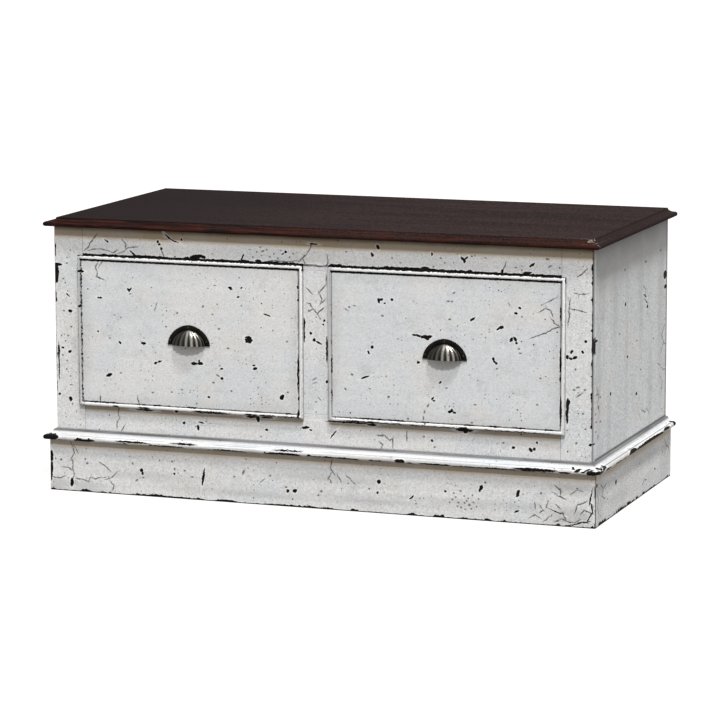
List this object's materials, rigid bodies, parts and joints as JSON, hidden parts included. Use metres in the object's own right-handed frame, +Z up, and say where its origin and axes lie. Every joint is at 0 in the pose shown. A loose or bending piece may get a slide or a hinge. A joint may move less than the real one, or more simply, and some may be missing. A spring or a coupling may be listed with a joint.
{
  "type": "blanket chest",
  "caption": "Low painted chest with side-by-side lipped drawers on wooden runners, fluted cup pulls, a dark moulded top and a plinth base, for keeping blankets.",
  "frame": {"origin": "on the floor under the middle of the whole object", "axes": "+X along the width, to the right as seen from the front; +Y from the drawers to the back; +Z up"},
  "size_m": [1.11, 0.5504, 0.527],
  "materials": {
    "white_paint": "worn off-white paint over wood, with dark chips and crackle",
    "dark_stain": "dark red-brown stain, semi-gloss",
    "bare_wood": "bare planed wood",
    "antique_bronze": "dark antique bronze, worn bright on the ribs"
  },
  "bodies": {
    "case": {"top_panel": "dark_stain", "left_stile": "white_paint", "right_stile": "white_paint", "centre_muntin": "white_paint", "top_rail": "white_paint", "bottom_rail": "white_paint", "left_side_panel": "white_paint", "right_side_panel": "white_paint", "back_panel": "white_paint", "centre_partition": "bare_wood", "rear_top_rail": "bare_wood", "rear_bottom_rail": "bare_wood", "left_top_cleat": "bare_wood", "right_top_cleat": "bare_wood", "left_outer_runner": "bare_wood", "left_inner_runner": "bare_wood", "right_inner_runner": "bare_wood", "right_outer_runner": "bare_wood", "left_outer_guide": "bare_wood", "left_inner_guide": "bare_wood", "right_inner_guide": "bare_wood", "right_outer_guide": "bare_wood", "left_outer_kicker": "bare_wood", "left_inner_kicker": "bare_wood", "right_inner_kicker": "bare_wood", "right_outer_kicker": "bare_wood", "plinth_front": "white_paint", "plinth_left": "white_paint", "plinth_right": "white_paint", "plinth_back": "white_paint", "front_left_glue_block": "bare_wood", "front_right_glue_block": "bare_wood", "rear_left_glue_block": "bare_wood", "rear_right_glue_block": "bare_wood", "base_moulding_front": "white_paint", "base_moulding_left": "white_paint", "base_moulding_right": "white_paint"},
    "left_drawer": {"left_drawer_front": "white_paint", "left_drawer_left_side": "bare_wood", "left_drawer_right_side": "bare_wood", "left_drawer_back": "bare_wood", "left_drawer_bottom": "bare_wood", "left_cup_pull": "antique_bronze", "left_pull_top_pin": "antique_bronze", "left_pull_left_pin": "antique_bronze", "left_pull_right_pin": "antique_bronze"},
    "right_drawer": {"right_drawer_front": "white_paint", "right_drawer_left_side": "bare_wood", "right_drawer_right_side": "bare_wood", "right_drawer_back": "bare_wood", "right_drawer_bottom": "bare_wood", "right_cup_pull": "antique_bronze", "right_pull_top_pin": "antique_bronze", "right_pull_left_pin": "antique_bronze", "right_pull_right_pin": "antique_bronze"}
  },
  "joints": [
    {"name": "left_drawer_slide", "type": "slide", "parent": "case", "child": "left_drawer", "axis": [0, -1, 0], "range_m": [0, 0.36]},
    {"name": "right_drawer_slide", "type": "slide", "parent": "case", "child": "right_drawer", "axis": [0, -1, 0], "range_m": [0, 0.36]}
  ]
}
